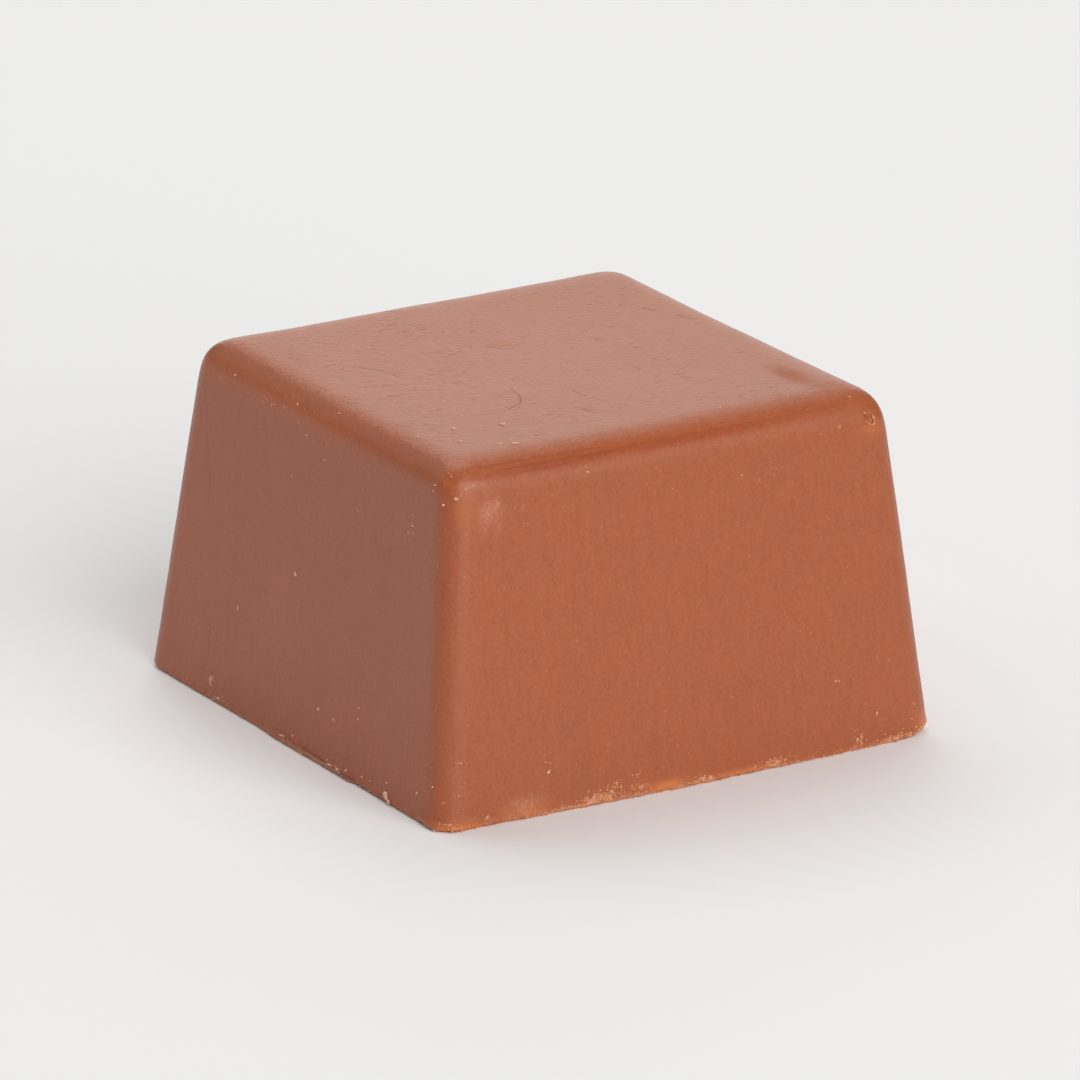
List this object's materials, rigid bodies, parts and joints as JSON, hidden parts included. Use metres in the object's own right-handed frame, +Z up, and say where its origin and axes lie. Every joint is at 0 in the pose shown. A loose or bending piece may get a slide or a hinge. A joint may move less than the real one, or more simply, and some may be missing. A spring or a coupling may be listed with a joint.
{
  "type": "chocolate bonbon",
  "caption": "Square moulded milk chocolate bonbon: a tapered block with softly rounded top and corner edges, a flat scraped base and crumbly worn base edges.",
  "frame": {"origin": "middle of the footprint of the bonbon, on the plane of its flat base", "axes": "+Z up through the top; +X and +Y along the base edges; the left face looks along -X and the front face along -Y, so the corner between them, nearest the viewer in the picture, points to -X -Y"},
  "size_m": [0.027, 0.0274, 0.0166],
  "materials": {
    "chocolate": "milk chocolate with a satin sheen: fine scuffs, pale rubbed patches and specks, and a paler crumbly base edge"
  },
  "bodies": {
    "root": {"bonbon": "chocolate"}
  },
  "joints": []
}
